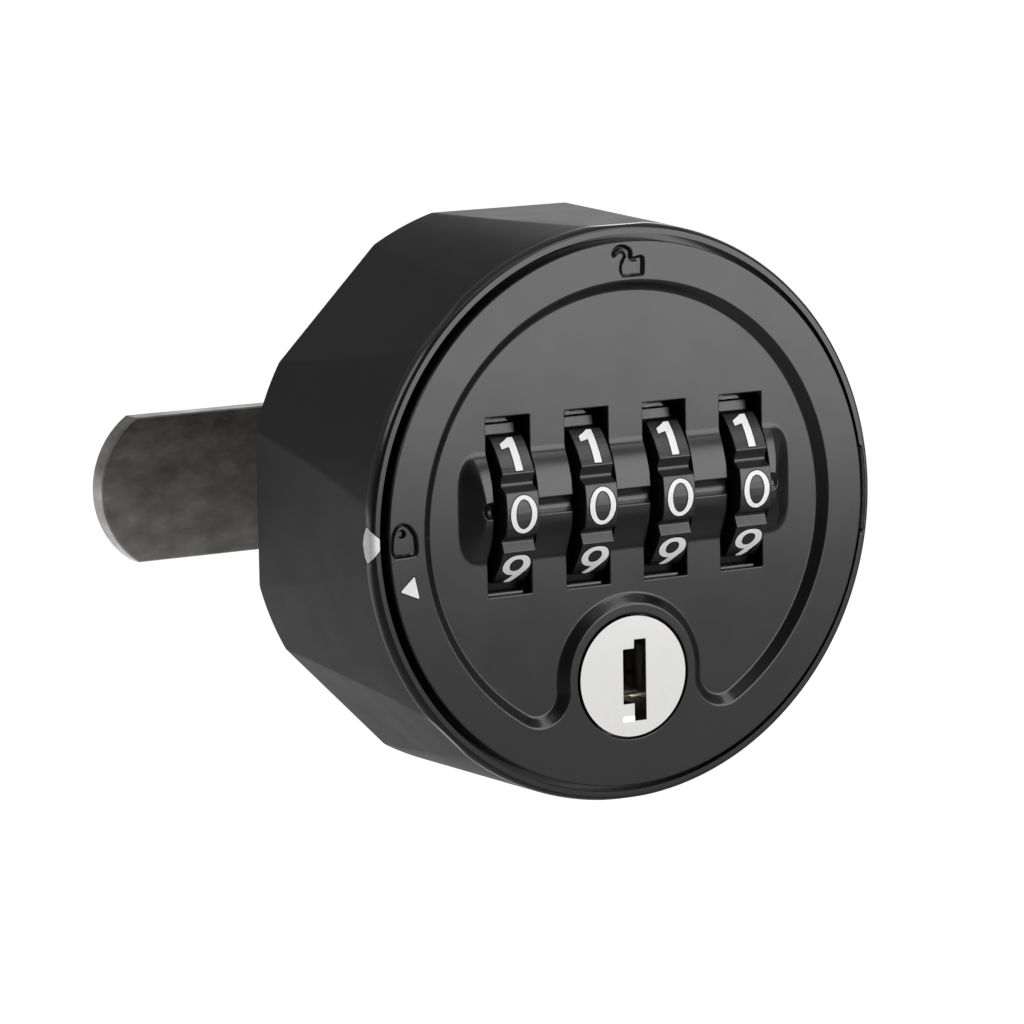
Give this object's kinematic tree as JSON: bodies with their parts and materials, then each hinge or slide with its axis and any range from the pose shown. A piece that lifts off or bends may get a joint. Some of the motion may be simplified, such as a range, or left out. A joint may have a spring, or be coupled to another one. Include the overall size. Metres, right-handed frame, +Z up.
{
  "type": "combination locker lock",
  "caption": "Round turn-knob locker lock with thumb dials, an override key cylinder, a threaded stud with nut, and a cam behind the door.",
  "frame": {"origin": "centre of the base's flat face, where the lock rests on the outside of the door", "axes": "+Y into the cupboard along the spindle, +Z up the door, +X to the right seen from the front"},
  "size_m": [0.059, 0.0458, 0.0516],
  "materials": {
    "black_paint": "smooth semi-gloss black paint on cast zinc",
    "dial_black": "moulded black with printed white digits",
    "plug_nickel": "polished nickel",
    "brass": "machined brass",
    "zinc_cast": "bare cast zinc",
    "zinc_plated": "zinc-plated steel",
    "cam_steel": "pressed steel, dull and mottled, with bright edges",
    "spring_steel": "drawn spring steel"
  },
  "bodies": {
    "base": {"base_body": "zinc_cast", "base_screws": "zinc_plated", "mechanism_frame": "zinc_cast", "face_plate": "black_paint", "dial_axle": "zinc_plated", "stack_spring": "spring_steel", "detent_leaf": "spring_steel", "leaf_screws": "zinc_plated", "cylinder_sleeve": "zinc_cast", "detent_ball": "spring_steel", "ball_spring": "spring_steel", "slide_spring": "spring_steel", "fixing_nut": "zinc_plated", "lock_washer": "zinc_plated"},
    "knob": {"knob_shell": "black_paint", "drive_plate": "zinc_plated", "plate_screws": "zinc_plated", "spindle": "zinc_plated", "cam_spacer": "zinc_plated", "cam": "cam_steel", "cam_washer": "zinc_plated", "cam_screw": "zinc_plated"},
    "dial_1": {"dial_wheel_1": "dial_black", "code_sleeve_1": "brass"},
    "dial_2": {"dial_wheel_2": "dial_black", "code_sleeve_2": "brass"},
    "dial_3": {"dial_wheel_3": "dial_black", "code_sleeve_3": "brass"},
    "dial_4": {"dial_wheel_4": "dial_black", "code_sleeve_4": "brass"},
    "plug": {"key_plug": "plug_nickel", "wafer_tumblers": "brass", "plug_tail": "zinc_plated"},
    "slide": {"locking_slide": "zinc_plated"}
  },
  "joints": [
    {"name": "knob_turn", "type": "hinge", "parent": "base", "child": "knob", "pos_m": [0, 0, 0], "axis": [0, 1, 0], "range_deg": [0, 90]},
    {"name": "dial_1_turn", "type": "hinge", "parent": "base", "child": "dial_1", "pos_m": [-0.01205, -0.0161, 0.0015], "axis": [1, 0, 0], "continuous": true},
    {"name": "dial_2_turn", "type": "hinge", "parent": "base", "child": "dial_2", "pos_m": [-0.00402, -0.0161, 0.0015], "axis": [1, 0, 0], "continuous": true},
    {"name": "dial_3_turn", "type": "hinge", "parent": "base", "child": "dial_3", "pos_m": [0.00402, -0.0161, 0.0015], "axis": [1, 0, 0], "continuous": true},
    {"name": "dial_4_turn", "type": "hinge", "parent": "base", "child": "dial_4", "pos_m": [0.01205, -0.0161, 0.0015], "axis": [1, 0, 0], "continuous": true},
    {"name": "plug_turn", "type": "hinge", "parent": "base", "child": "plug", "pos_m": [0, -0.0165, -0.01457], "axis": [0, 1, 0], "range_deg": [0, 90]},
    {"name": "slide_throw", "type": "slide", "parent": "base", "child": "slide", "axis": [0, 0, -1], "range_m": [0, 0.0025], "stiffness_N_per_m": 200, "springref_m": -0.003, "deforming": ["slide_spring"]}
  ]
}
